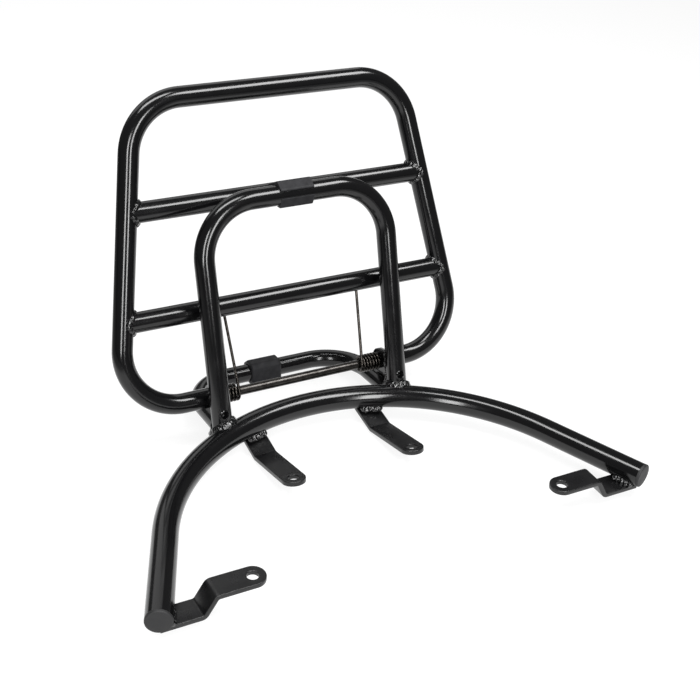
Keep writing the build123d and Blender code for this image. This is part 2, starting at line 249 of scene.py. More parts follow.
class RackFinish(bpy.types.PropertyGroup):
    """Colours of the rack's coats, rubber and bare steel, and of the stage."""

    gloss_coat: colour("Gloss coat", "#0b0b0c", "Black powder coat of the tubes")
    satin_coat: colour("Satin coat", "#0f0f10", "Thinner, duller black coat of the tabs")
    cap_coat: colour("Cap coat", "#1c1c1d", "Rough black coat of the arch's end caps")
    rubber: colour("Rubber", "#28282a", "Moulded black rubber")
    rod_steel: colour("Rod steel", "#4d4b49", "Drawn steel rod with a brown oil film")
    rod_shade: colour("Rod shade", "#2e2c2a", "Darker drawing lines on the rod")
    wire_steel: colour("Spring wire", "#4f4b47", "Tempered brown spring wire")
    wire_scale: colour("Wire scale", "#242220", "Darker scale on the spring wire")
    floor: colour("Floor", "#808080", "Studio floor")


# Places

def unit(vectors):
    """Vectors scaled to length one."""
    return vectors / np.linalg.norm(vectors, axis=-1, keepdims=True)


def mirrored(point, sign):
    """A point of the right-hand side, or its mirror image on the left where the sign is negative."""
    return np.array((sign * point[0], point[1], point[2]))


class Sheet:
    """A plane across the rack: a place on it is its origin, plus x across, plus rise along up, plus out."""

    def __init__(self, origin, up):
        self.origin = np.array(origin)
        self.up = unit(np.array(up))
        self.out = np.cross(ACROSS, self.up)

    def at(self, x, rise, out=0.0):
        """Points at some x across, rise along the plane and distance out of it."""
        x, rise, out = (np.asarray(part, float)[..., None] for part in (x, rise, out))
        return self.origin + x * ACROSS + rise * self.up + out * self.out


class RackLayout:
    """Every reference place of the rack, worked out from its sizes."""

    def __init__(self, s):
        self.arch_r = s.arch_tube / 2 + s.coat
        self.frame_r = s.frame_tube / 2 + s.coat
        self.loop_r = s.loop_tube / 2 + s.coat

        cosine, sine = math.cos(s.arch_half_angle), math.sin(s.arch_half_angle)
        bar_to_arch = (s.arch_tube + s.tab_thickness) / 2
        to_tab = s.arch_leg - s.front_tab_inset
        self.low_z = s.tab_thickness / 2 - s.front_tab_rise
        self.arch_z = self.low_z + bar_to_arch
        self.arch_radius = s.arch_radius
        bend_end = np.array((s.arch_radius * sine, to_tab * sine, self.arch_z))
        self.arch_centre_y = bend_end[1] - s.arch_radius * cosine
        self.arch_corner = np.array((0.0, self.arch_centre_y + s.arch_radius / cosine, self.arch_z))
        self.leg_way = np.array((cosine, -sine, 0.0))
        self.arch_end = bend_end + self.leg_way * s.arch_leg
        self.front_root = bend_end + self.leg_way * to_tab
        self.rear_y = self.arch_y(s.rear_tab_x)
        self.rear_root_z = self.arch_z - bar_to_arch + s.rear_tab_bite

        hoop_up = (0.0, math.sin(s.hoop_lean), math.cos(s.hoop_lean))
        self.hoop = Sheet((0.0, self.arch_y(s.hoop_half_width) + s.hoop_setback, self.arch_z), hoop_up)
        self.loop_half_width = s.hoop_half_width - s.loop_inset
        loop_way = (0.0, math.cos(s.loop_drop), -math.sin(s.loop_drop))
        self.loop = Sheet((0.0, self.arch_y(self.loop_half_width), self.arch_z), loop_way)

        self.flap = Sheet(HINGE, (0.0, math.sin(s.flap_lean), math.cos(s.flap_lean)))
        self.flap_half_width = s.flap_half_width
        self.flap_side_lean = math.atan((s.flap_half_width - s.flap_top_half_width) / s.flap_height)
        self.ear_middle = s.hoop_half_width - s.ear_inset
        self.disc_face = self.ear_middle + s.ear_thickness / 2 + s.side_play
        self.flap_end = self.disc_face + s.disc_thickness
        self.high_bar_rise = s.hoop_height - s.hinge_rise - s.stop_drop

    def arch_y(self, x):
        """How far back the arch's centre line lies at some x across, on the circle of its wide bend."""
        return self.arch_centre_y + np.sqrt(self.arch_radius**2 - np.square(x))

    def arch_distance(self, points):
        """Distance from the arch's centre line, taken round its wide bend."""
        out = np.hypot(points[..., 0], points[..., 1] - self.arch_centre_y) - self.arch_radius
        return np.hypot(out, points[..., 2] - self.arch_z)

    def flap_half(self, rise):
        """Half the flap's width at some rise above the hinge axis."""
        return self.flap_half_width - np.tan(self.flap_side_lean) * rise


def line_distance(points, start, way):
    """Distance from a straight run that starts at a point and goes on along a direction."""
    along = np.maximum((points - start) @ way, 0.0)
    return np.linalg.norm(points - start - along[..., None] * way, axis=-1)


def first_contact(starts, way, depth, reach):
    """Points where lines from a ring of starts, along one way, leave the solid that depth calls negative.

    Each step halves the stretch that holds the surface, for all the lines at once.
    """
    low, high = np.zeros(len(starts)), np.full(len(starts), reach)
    for _ in range(HALVINGS):
        middle = (low + high) / 2
        inside = depth(starts + middle[:, None] * way) < 0
        low, high = np.where(inside, middle, low), np.where(inside, high, middle)
    return starts + high[:, None] * way


# Surfaces

def lattice(rows, columns):
    """Quads of a grid of points numbered row by row, closed round its columns."""
    i, j = np.meshgrid(np.arange(rows - 1), np.arange(columns), indexing="ij")
    after = (j + 1) % columns
    quads = (i * columns + j, i * columns + after, (i + 1) * columns + after, (i + 1) * columns + j)
    return np.stack(quads, -1).reshape(-1, 4)


def add_piece(name, grids, material, body, nodes=()):
    """One closed mesh from grids of points (rows, columns, 3), each with the quads to keep.

    Points that fall together are merged, which closes seams and poles, open rings are filled, and the faces
    are turned outwards. A piece is attached to its body when that body is given as one name. A body given any
    other way, such as a spring's two bodies with the ends of its blend, is not used, and the piece's place is
    only baked in.
    """
    points, faces, count = [], [], 0
    for grid, quads in grids:
        points.append(grid.reshape(-1, 3))
        faces.append((lattice(*grid.shape[:2]) if quads is None else quads) + count)
        count += len(points[-1])
    mesh = bpy.data.meshes.new(name)
    mesh.from_pydata(np.concatenate(points), [], np.concatenate(faces).tolist())
    work = bmesh.new()
    work.from_mesh(mesh)
    bmesh.ops.remove_doubles(work, verts=work.verts, dist=MERGE_DISTANCE)
    bmesh.ops.holes_fill(work, edges=[edge for edge in work.edges if edge.is_boundary], sides=0)
    bmesh.ops.recalc_face_normals(work, faces=work.faces)
    work.to_mesh(mesh)
    work.free()
    mesh.shade_smooth()
    mesh.set_sharp_from_angle(angle=SHARP_ANGLE)
    mesh.materials.append(material)
    piece = bpy.data.objects.new(name, mesh)
    bpy.context.scene.collection.objects.link(piece)
    if isinstance(body, str):
        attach(piece, body)
    else:
        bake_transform(piece)
    if nodes:
        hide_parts(*nodes)


def straight_run(start, end, step):
    """Evenly spaced points from start to end, with the direction at each."""
    count = max(2, math.ceil(np.linalg.norm(end - start) / step) + 1)
    share = np.linspace(0.0, 1.0, count)[:, None]
    return start + share * (end - start), np.repeat(unit(end - start)[None], count, 0)


def bent_line(corners, radius, step=STATION_STEP):
    """Points and directions along straight runs through corners, joined by tangent arcs of one radius.

    At a corner the runs a and b turn by an angle; the arc starts radius * tan(angle / 2) before it and is
    start + radius * (sin(turned) * a + (1 - cos(turned)) * m), where m points to the arc's centre.
    """
    corners = np.array(corners, float)
    runs = unit(np.diff(corners, axis=0))
    pieces, start = [], corners[0]
    for corner, a, b in zip(corners[1:-1], runs[:-1], runs[1:]):
        turn = math.acos(np.clip(a @ b, -1.0, 1.0))
        towards = (b - math.cos(turn) * a) / math.sin(turn)
        entry = corner - radius * math.tan(turn / 2) * a
        pieces.append([part[:-1] for part in straight_run(start, entry, step)])
        turned = np.linspace(0.0, turn, math.ceil(radius * turn / step) + 1)[:, None]
        arc = entry + radius * (np.sin(turned) * a + (1 - np.cos(turned)) * towards)
        pieces.append([arc[:-1], (np.cos(turned) * a + np.sin(turned) * towards)[:-1]])
        start = arc[-1]
    pieces.append(straight_run(start, corners[-1], step))
    points, ways = (np.concatenate(part) for part in zip(*pieces))
    return points, ways


def round_angles(count=ROUND_POINTS, crowd=0.0):
    """Angles once round a section; crowd above 0 packs them closer about angle zero."""
    share = np.arange(count) / count * 2 * np.pi
    return share - crowd * np.sin(share)


def round_section(points, ways, normal, radius, angles):
    """Rings round a line: point + radius * (cos(angle) * normal + sin(angle) * way x normal)."""
    normal = np.broadcast_to(normal, points.shape)
    normal = unit(normal - np.sum(normal * ways, -1, keepdims=True) * ways)
    side = np.cross(ways, normal)
    radius = np.broadcast_to(radius, (len(points), len(angles)))[..., None]
    spread = np.cos(angles)[:, None] * normal[:, None] + np.sin(angles)[:, None] * side[:, None]
    return points[:, None] + radius * spread


def lathe(profile, origin, axis):
    """Surface turned about an axis: origin + height * axis + radius * (cos(angle) * u + sin(angle) * v)."""
    angles = round_angles()
    axis = unit(np.array(axis, float))
    first = unit(np.cross(axis, UPWARD if abs(axis[2]) < 0.9 else ACROSS))
    second = np.cross(axis, first)
    radius, height = np.array(profile, float).T
    spread = np.cos(angles)[:, None] * first + np.sin(angles)[:, None] * second
    return origin + height[:, None, None] * axis + radius[:, None, None] * spread


def rounded(radius, height, rounding):
    """Profile points of an outer corner at (radius, height), rounded over from the side to the end face."""
    turn = np.linspace(0.0, np.pi / 2, EDGE_POINTS)
    return list(zip(radius - rounding * (1 - np.cos(turn)), height - rounding * (1 - np.sin(turn))))


def bead_surface(path, out, radius, pool, closed, seed):
    """Weld bead: a round section along a path, whose radius swells from pool to pool.

    With phase going from 0 to pi along the bead, its radius is 1 - swell + swell * |sin(pools * phase)| with
    slower waves added. The crown is flattened by 1 - loss * cos(angle)^2, and the product of two sines, along
    and round the bead, gives it lumps, so that no two pools are alike.
    An open bead shrinks to a point at each end along a quarter of a circle.
    """
    ends = np.concatenate((path, path[:1])) if closed else path
    legs = np.linalg.norm(np.diff(ends, axis=0), axis=-1)
    along = np.concatenate(((0.0,), np.cumsum(legs)))
    total = along[-1]
    count = max(BEAD_ROWS_LEAST, round(total / FINE_STEP))
    place = np.linspace(0.0, total, count, endpoint=not closed)
    points = np.stack([np.interp(place, along, ends[:, k]) for k in range(3)], -1)
    outs = np.broadcast_to(out, path.shape)
    outs = np.concatenate((outs, outs[:1])) if closed else outs
    outs = np.stack([np.interp(place, along, outs[:, k]) for k in range(3)], -1)
    before, after = np.roll(points, 1, 0), np.roll(points, -1, 0)
    if not closed:
        before[0], after[-1] = points[0], points[-1]
    ways = unit(after - before)
    pools = max(3, round(total / pool))
    phase = place / total * np.pi
    swell = np.abs(np.sin(pools * phase + POOL_DRIFT * np.sin(6 * phase + seed)))
    swell = 1 - POOL_SWELL + POOL_SWELL * swell
    for waves, height, shift in BEAD_WAVES:
        swell += height * np.sin(waves * phase + shift * seed)
    if not closed:
        gone = np.clip(np.minimum(place, total - place) / radius, 0.0, 1.0)
        swell = swell * np.sqrt(1 - (1 - gone) ** 2)
    angles = round_angles(BEAD_POINTS)
    first, second = (2 * round(share * pools) * phase[:, None] for share in LUMPS_PER_POOL)
    lumps = np.sin(first + 2 * angles + seed) * np.sin(second - 3 * angles)
    crown = 1 - CROWN_LOSS * np.cos(angles) ** 2
    radii = radius * swell[:, None] * crown * (1 + LUMP_SWELL * lumps)
    grid = round_section(points, ways, outs, radii, angles)
    return np.concatenate((grid, grid[:1])) if closed else grid


def plate_grids(line, up, width, thickness, hole, edge):
    """Flat bar along a bent line, with a round tip about a round hole, as a left and a right half.

    In the flat, a half lies between the hole's rim, sqrt(hole^2 - u^2) from the middle, and the bar's edge,
    at half the width and then round the tip. Both edges are rounded over. The flat bar is then laid along the
    line: point(u) + v * across + w * normal(u).
    """
    points, ways = line
    half = width / 2
    lengths = np.concatenate(((0.0,), np.cumsum(np.linalg.norm(np.diff(points, axis=0), axis=-1))))
    centre = lengths[-1] - half
    across = unit(np.cross(up, ways[0]))
    normals = np.cross(ways, across)

    turn = np.linspace(0.0, np.pi, HOLE_POINTS)
    tip = np.linspace(math.asin(hole / half), np.pi / 2, TIP_POINTS)[1:]
    before = lengths[lengths < centre - hole - 3 * edge]
    rows = np.concatenate((before, centre - hole * np.cos(turn), centre + half * np.sin(tip)))
    pierced = np.abs(rows - centre) < hole * (1 + SLACK)
    off = np.clip((rows - centre) / half, 0.0, 1.0)
    side = np.sqrt(1 - off**2)
    rim_u = np.where(pierced, (rows - centre) / hole, 0.0)
    rim_v = np.sqrt(np.clip(1 - rim_u**2, 0.0, 1.0)) * pierced

    quarter = np.linspace(0.0, np.pi / 2, EDGE_POINTS)
    inset = edge * (1 - np.concatenate((np.sin(quarter), np.cos(quarter))))
    heights = (thickness / 2 - edge) * np.repeat((1.0, -1.0), EDGE_POINTS)
    heights += edge * np.concatenate((np.cos(quarter), -np.sin(quarter)))
    inner = rows + np.where(rows > centre + hole, -edge * off, 0.0)
    outer_u = rows[:, None] - off[:, None] * inset
    outer_v = half * side[:, None] - side[:, None] * inset
    rim_inset = inset[::-1] * pierced[:, None]
    inner_u = inner[:, None] + rim_u[:, None] * rim_inset
    inner_v = (hole + rim_inset) * rim_v[:, None]
    rim_heights = np.where(pierced[:, None], heights[::-1], np.sign(heights[::-1]) * thickness / 2)

    u = np.concatenate((outer_u, inner_u), 1)
    v = np.concatenate((outer_v, inner_v), 1)
    w = np.concatenate((np.broadcast_to(heights, outer_u.shape), rim_heights), 1)
    base = np.stack([np.interp(u, lengths, points[:, k]) for k in range(3)], -1)
    normal = unit(np.stack([np.interp(u, lengths, normals[:, k]) for k in range(3)], -1))

    count = u.shape[1]
    quads = lattice(len(rows), count)
    solid = ~(pierced[quads[:, 0] // count] & pierced[quads[:, 2] // count])
    column = quads[:, 0] % count
    inner_wall = (column >= 2 * EDGE_POINTS) & (column < count - 1)
    quads = quads[~(solid & inner_wall)]
    raised = base + w[..., None] * normal
    return [(raised + v[..., None] * across, quads), (raised - v[..., None] * across, quads[:, ::-1])]


def faceted_outline(lines, angles):
    """Outline about a middle point, inside lines that are given by their normals' angles and their distances.

    At each angle its reach is the least of distance / cos(angle - normal) over the lines that it faces.
    The mean with two neighbours on each side rounds the corners.
    """
    normals, distances = np.array(lines).T
    facing = np.maximum(np.cos(angles[:, None] - normals), SLACK)
    reach = np.min(distances / facing, -1)
    reach = np.mean([np.roll(reach, shift) for shift in (-2, -1, 0, 1, 2)], 0)
    return reach[:, None] * np.stack((np.cos(angles), np.sin(angles)), -1)


def sleeve_surface(origin, axis, right, up, outline, bore, size, edge):
    """Rubber round a tube: an outline outside, a round bore inside and rounded end edges.

    Rows go along the outside and back through the bore: origin + height * axis + x * right + y * up.
    """
    plane = np.stack((right, up))
    turn = np.linspace(0.0, np.pi / 2, RUBBER_EDGE_POINTS)
    heights = size / 2 - edge * (1 - np.sin(turn))
    insets = edge * (1 - np.cos(turn))
    flat = np.linspace(-1.0, 1.0, RUBBER_ROWS + 2)[1:-1] * (size / 2 - edge)
    heights = np.concatenate((-heights[::-1], flat, heights))
    insets = np.concatenate((insets[::-1], np.zeros(RUBBER_ROWS), insets))
    reach = np.linalg.norm(outline, axis=-1, keepdims=True)
    rows = outline * (1 - insets[:, None, None] / reach) @ plane + heights[:, None, None] * axis
    hole = bore * unit(outline) @ plane
    low, high = hole - axis * size / 2, hole + axis * size / 2
    return origin + np.concatenate((low[None], rows, high[None], low[None]))


# Materials

def add_node(tree, kind, inputs=None, **settings):
    """A new node with its settings, and its inputs set to values or linked from other nodes' sockets."""
    node = tree.nodes.new(kind)
    for key, value in settings.items():
        setattr(node, key, value)
    for key, value in (inputs or {}).items():
        if isinstance(value, bpy.types.NodeSocket):
            tree.links.new(value, node.inputs[key])
        else:
            node.inputs[key].default_value = value
    return node


def new_material(name):
    """A new material, its empty node tree and its object coordinates."""
    material = bpy.data.materials.new(name)
    material.use_nodes = True
    tree = material.node_tree
    tree.nodes.clear()
    place = add_node(tree, "ShaderNodeTexCoord").outputs["Object"]
    return material, tree, place


def finish_material(tree, shader):
    """Links a shader to the material's output."""
    add_node(tree, "ShaderNodeOutputMaterial", {"Surface": shader.outputs[0]})


def per_metre(millimetres):
    """Texture scale for a pattern whose features are some millimetres across."""
    return 1 / (millimetres * MM)


def powder_coat(name, tint, roughness, spread, peel, waviness):
    """Black powder coat, sprayed and baked: a thin even skin with a faint orange peel.

    The eye sees near-black with clear, slightly wavering reflections, a little duller in patches.
    The heights of its peel and of its slow waves are in millimetres.
    """
    material, tree, place = new_material(name)
    patches = add_node(tree, "ShaderNodeTexNoise", {"Vector": place, "Scale": per_metre(14), "Detail": 3.0})
    dull = add_node(tree, "ShaderNodeMapRange", {
        "Value": patches.outputs["Fac"], "From Min": 0.35, "From Max": 0.65,
        "To Min": roughness - spread, "To Max": roughness + spread})
    skin = add_node(tree, "ShaderNodeTexNoise", {"Vector": place, "Scale": per_metre(1.5), "Detail": 2.0})
    slow = add_node(tree, "ShaderNodeTexNoise", {"Vector": place, "Scale": per_metre(26), "Detail": 1.0})
    wave = add_node(tree, "ShaderNodeBump", {"Height": slow.outputs["Fac"], "Distance": waviness * MM})
    bump = add_node(tree, "ShaderNodeBump", {
        "Height": skin.outputs["Fac"], "Distance": peel * MM, "Normal": wave.outputs["Normal"]})
    shader = add_node(tree, "ShaderNodeBsdfPrincipled", {
        "Base Color": (*tint, 1.0), "Roughness": dull.outputs["Result"], "IOR": 1.5,
        "Normal": bump.outputs["Normal"]})
    finish_material(tree, shader)
    return material


def weld_coat(name, tint):
    """Powder coat over a weld: spatter and small pits that the coat follows, so it sparkles in specks.

    Spatter and pits are drawn coarse enough to show.
    """
    material, tree, place = new_material(name)
    grit = add_node(tree, "ShaderNodeTexNoise", {"Vector": place, "Scale": per_metre(1.8), "Detail": 2.0})
    spatter = add_node(tree, "ShaderNodeTexVoronoi", {"Vector": place, "Scale": per_metre(2.6)})
    low = add_node(tree, "ShaderNodeBump", {
        "Height": spatter.outputs["Distance"], "Distance": 0.6 * MM, "Strength": 0.8})
    bump = add_node(tree, "ShaderNodeBump", {
        "Height": grit.outputs["Fac"], "Distance": 0.45 * MM, "Normal": low.outputs["Normal"]})
    shader = add_node(tree, "ShaderNodeBsdfPrincipled", {
        "Base Color": (*tint, 1.0), "Roughness": 0.06, "IOR": 1.65, "Normal": bump.outputs["Normal"]})
    finish_material(tree, shader)
    return material


def moulded_rubber(name, tint):
    """Moulded black rubber: matte, with a fine grain from the mould and a pale bloom in patches.

    The grain is drawn coarse enough to show.
    """
    material, tree, place = new_material(name)
    bloom = add_node(tree, "ShaderNodeTexNoise", {"Vector": place, "Scale": per_metre(6), "Detail": 4.0})
    tone = add_node(tree, "ShaderNodeMapRange", {
        "Value": bloom.outputs["Fac"], "From Min": 0.3, "From Max": 0.7, "To Min": 0.75, "To Max": 1.35})
    shade = add_node(tree, "ShaderNodeVectorMath", {
        0: tint, "Scale": tone.outputs["Result"]}, operation="SCALE")
    grain = add_node(tree, "ShaderNodeTexNoise", {"Vector": place, "Scale": per_metre(0.7), "Detail": 3.0})
    bump = add_node(tree, "ShaderNodeBump", {"Height": grain.outputs["Fac"], "Distance": 0.05 * MM})
    shader = add_node(tree, "ShaderNodeBsdfPrincipled", {
        "Base Color": shade.outputs["Vector"], "Roughness": 0.5, "IOR": 1.25,
        "Normal": bump.outputs["Normal"]})
    finish_material(tree, shader)
    return material


def drawn_steel(name, light, dark, line, stretch, roughness):
    """Drawn steel under a brown film: bright, with fine drawing lines along the wire or rod.

    The lines' spacing is in millimetres, coarse enough to show. A stretch below 1 draws them out that way.
    """
    material, tree, place = new_material(name)
    along = add_node(tree, "ShaderNodeMapping", {"Vector": place, "Scale": stretch})
    lines = add_node(tree, "ShaderNodeTexNoise", {
        "Vector": along.outputs["Vector"], "Scale": per_metre(line), "Detail": 4.0})
    film = add_node(tree, "ShaderNodeTexNoise", {"Vector": place, "Scale": per_metre(5), "Detail": 3.0})
    both = add_node(tree, "ShaderNodeMath", {
        0: lines.outputs["Fac"], 1: film.outputs["Fac"]}, operation="ADD")
    share = add_node(tree, "ShaderNodeMapRange", {
        "Value": both.outputs[0], "From Min": 0.75, "From Max": 1.25})
    tint = add_node(tree, "ShaderNodeMix", {
        "Factor": share.outputs["Result"], "A": (*dark, 1.0), "B": (*light, 1.0)}, data_type="RGBA")
    bump = add_node(tree, "ShaderNodeBump", {"Height": lines.outputs["Fac"], "Distance": 0.01 * MM})
    shader = add_node(tree, "ShaderNodeBsdfPrincipled", {
        "Base Color": tint.outputs["Result"], "Metallic": 1.0, "Roughness": roughness,
        "Normal": bump.outputs["Normal"]})
    finish_material(tree, shader)
    return material


# Each material by its name, made from the colours of the finish
MAKERS = {
    "gloss_black_powder_coat": lambda name, c: powder_coat(
        name, c.gloss_coat, roughness=0.15, spread=0.02, peel=0.0008, waviness=0.02),
    "satin_black_powder_coat": lambda name, c: powder_coat(
        name, c.satin_coat, roughness=0.3, spread=0.05, peel=0.004, waviness=0.04),
    "rough_black_powder_coat": lambda name, c: powder_coat(
        name, c.cap_coat, roughness=0.6, spread=0.06, peel=0.02, waviness=0.05),
    "black_coated_weld": lambda name, c: weld_coat(name, c.gloss_coat),
    "moulded_black_rubber": lambda name, c: moulded_rubber(name, c.rubber),
    "drawn_steel_rod": lambda name, c: drawn_steel(
        name, c.rod_steel, c.rod_shade, line=0.5, stretch=(0.04, 1.0, 1.0), roughness=0.28),
    "tempered_spring_wire": lambda name, c: drawn_steel(
        name, c.wire_steel, c.wire_scale, line=0.6, stretch=(1.0, 1.0, 1.0), roughness=0.22),
}


def rack_material(name):
    """The named material, made when it is first asked for."""
    return bpy.data.materials.get(name) or MAKERS[name](name, bpy.context.scene.rack_finish)


# Operators

class RackOperator:
    """What the rack's operators share: the sizes, and the places worked out from them."""

    bl_options = {"REGISTER", "UNDO"}

    def execute(self, context):
        sizes = context.scene.rack_sizes
        self.build(sizes, RackLayout(sizes))
        return {"FINISHED"}


def coated(name, grids, body, nodes, coat="gloss", finish=None):
    """A powder-coated piece, in the gloss or the satin coat, whose finish can be rougher."""
    material = rack_material(f"{finish or coat}_black_powder_coat")
    add_piece(name, grids, material, body, nodes)


class RACK_OT_arch(RackOperator, bpy.types.Operator):
    """Base arch of bent tube, and the discs that close its ends"""

    bl_idname = "rack.arch"
    bl_label = "Base arch"

    def build(self, s, at):
        ends = [mirrored(at.arch_end, sign) for sign in (1, -1)]
        points, ways = bent_line((ends[0], at.arch_corner, ends[1]), s.arch_radius)
        grid = round_section(points, ways, UPWARD, at.arch_r, round_angles())
        coated("arch_tube_bent", [(grid, None)], "frame", ["arch_tube"])
        rim = [(0.0, 0.0), (at.arch_r, 0.0)]
        rim += rounded(at.arch_r, s.cap_thickness, s.cap_round) + [(0.0, s.cap_thickness)]
        for side, sign in SIDES.items():
            grid = lathe(rim, mirrored(at.arch_end, sign), mirrored(at.leg_way, sign))
            coated(f"arch_cap_{side}", [(grid, None)], "frame", [f"arch_end_cap_{side}"], "satin", "rough")


class RACK_OT_hoop(RackOperator, bpy.types.Operator):
    """Upright hoop of bent tube, coped onto the arch and the loop, with a vent hole in each leg"""

    bl_idname = "rack.hoop"
    bl_label = "Upright hoop"

    # Fine rows reach this far from the vent's middle, and its wall is this wide, in shares of its diameter
    VENT_REACH = 0.7
    VENT_WALL = 0.12
    # How far above its foot a leg's first ring lies
    FOOT_GAP = 1 * MM

    def build(self, s, at):
        """Rings up one leg, round the bends and down the other, from foot to foot.

        At a vent the radius drops by depth * share^2 * (3 - 2 * share) inside a rim raised as a bell curve.
        """
        radius = at.frame_r
        angles = round_angles(LEG_POINTS, LEG_CROWDING)
        feet = [hoop_foot(s, at, sign, angles) for sign in (-1, 1)]
        start = np.max((np.concatenate(feet) - at.hoop.origin) @ at.hoop.up) + self.FOOT_GAP
        vent_rows = np.linspace(-self.VENT_REACH, self.VENT_REACH, VENT_ROWS) * s.vent + s.vent_rise
        w, low, high = s.hoop_half_width, vent_rows[-1], s.hoop_height
        points, ways = bent_line(at.hoop.at((-w, -w, w, w), (low, high, high, low)), s.hoop_bend)
        rises = np.concatenate((np.linspace(start, vent_rows[0], 3)[:-1], vent_rows[:-1]))
        ups = np.repeat(at.hoop.up[None], len(rises), 0)
        points = np.concatenate((at.hoop.at(-w, rises), points, at.hoop.at(w, rises[::-1])))
        ways = np.concatenate((ups, ways, -ups))
        rise = (points - at.hoop.origin) @ at.hoop.up - s.vent_rise
        from_vent = np.hypot(rise[:, None], radius * np.sin(angles))
        share = np.clip((s.vent / 2 - from_vent) / (self.VENT_WALL * s.vent), 0.0, 1.0)
        dent = s.vent_depth * share**2 * (3 - 2 * share)
        dent -= s.vent_rim * np.exp(-((from_vent - s.vent / 2) / (2 * s.vent_rim)) ** 2)
        dent *= np.cos(angles) > 0
        grid = round_section(points, ways, at.hoop.out, radius - dent, angles)
        turned = np.roll(feet[1][::-1], 1, 0)
        grid = np.concatenate((feet[0][None], grid, turned[None]))
        coated("hoop_tube_bent", [(grid, None)], "frame", ["hoop_tube"])


def hoop_foot(s, at, sign, angles):
    """Ring where a hoop leg meets the arch or the loop's arm, at angles counted from the leg's front."""
    arm = at.loop.at(sign * at.loop_half_width, 0.0)
    side = np.cross(at.hoop.up, at.hoop.out)
    spread = np.cos(angles)[:, None] * at.hoop.out + np.sin(angles)[:, None] * side
    starts = at.hoop.at(sign * s.hoop_half_width, 0.0) + at.frame_r * spread

    def depth(points):
        in_arm = line_distance(points, arm, at.loop.up) - at.loop_r
        return np.minimum(at.arch_distance(points) - at.arch_r, in_arm)

    return first_contact(starts, at.hoop.up, depth, s.vent_rise)


class RACK_OT_loop(RackOperator, bpy.types.Operator):
    """Support loop of bent tube behind the arch"""

    bl_idname = "rack.loop"
    bl_label = "Support loop"

    def build(self, s, at):
        w, reach = at.loop_half_width, s.loop_reach
        inside = s.arch_tube / 4
        corners = at.loop.at((-w, -w, w, w), (inside, reach, reach, inside))
        points, ways = bent_line(corners, s.loop_bend)
        grid = round_section(points, ways, at.loop.out, at.loop_r, round_angles())
        coated("support_loop_bent", [(grid, None)], "frame", ["support_loop"])


class RACK_OT_flap(RackOperator, bpy.types.Operator):
    """Folding flap: its bent tube, its two coped crossbars and the discs that close its ends"""

    bl_idname = "rack.flap"
    bl_label = "Folding flap"

    # How much of a crossbar its inner rows take up
    BAR_SPAN = 0.85

    def build(self, s, at):
        end, low, top = at.flap_end, s.flap_half_width, s.flap_top_half_width
        h = s.flap_height
        corners = at.flap.at((-end, -low, -top, top, low, end), (0.0, 0.0, h, h, 0.0, 0.0))
        points, ways = bent_line(corners, s.flap_bend)
        grid = round_section(points, ways, at.flap.out, at.frame_r, round_angles())
        coated("flap_tube_bent", [(grid, None)], "flap", ["flap_tube"])
        angles = round_angles()
        for name, rise in (("lower", s.low_bar_rise), ("upper", at.high_bar_rise)):
            left, right = (crossbar_end(s, at, rise, sign, angles) for sign in (-1, 1))
            share = np.linspace(-self.BAR_SPAN, self.BAR_SPAN, BAR_ROWS)[:, None, None]
            middle = share * (right - left) / 2 + (left + right) / 2
            grid = np.concatenate((left[None], middle, right[None]))
            coated(f"flap_bar_{name}", [(grid, None)], "flap", [f"flap_crossbar_{name}"])
        bore = s.rod / 2
        profile = [(bore, s.disc_thickness), (bore, 0.0), (at.frame_r - s.plate_round, 0.0),
                   (at.frame_r, s.plate_round), (at.frame_r, s.disc_thickness), (bore, s.disc_thickness)]
        for side, sign in SIDES.items():
            grid = lathe(profile, HINGE + sign * at.disc_face * ACROSS, sign * ACROSS)
            coated(f"flap_disc_{side}", [(grid, None)], "flap", [f"flap_end_disc_{side}"])


def crossbar_end(s, at, rise, sign, angles, blunt=0.0):
    """Ring where a crossbar meets a side of the flap: half width there less radius * |sin| / cos(side lean).

    Blunt above 0 rounds off the ring's two corners, where the tubes' middles cross.
    """
    radius = at.frame_r
    sine = np.sin(angles)
    inwards = radius * np.sqrt(sine**2 + blunt) / math.cos(at.flap_side_lean)
    x = at.flap_half(rise + radius * sine) - inwards
    return at.flap.at(sign * x, rise + radius * sine, radius * np.cos(angles))


class RACK_OT_hinge(RackOperator, bpy.types.Operator):
    """Hinge ears on the hoop's legs, and the rod through them"""

    bl_idname = "rack.hinge"
    bl_label = "Hinge"

    def build(self, s, at):
        for side, sign in SIDES.items():
            x = sign * at.ear_middle
            root, tip = s.frame_tube / 4, s.hinge_setback + s.ear_radius
            ends = at.hoop.at(x, s.hinge_rise, (-root, -tip))
            line = straight_run(*ends, STATION_STEP)
            bore = s.rod / 2 + s.rod_clearance
            grids = plate_grids(line, ACROSS, 2 * s.ear_radius, s.ear_thickness, bore, s.plate_round)
            coated(f"hinge_ear_plate_{side}", grids, "frame", [f"hinge_ear_{side}"])
        half, r = at.flap_end, s.rod / 2
        stations = np.linspace(-half, half, ROD_ROWS)
        profile = [(0.0, -half), *((r, h) for h in stations), (0.0, half)]
        grid = lathe(profile, HINGE, ACROSS)
        add_piece("hinge_rod_drawn", [(grid, None)], rack_material("drawn_steel_rod"), "flap",
                  ["hinge_rod"])


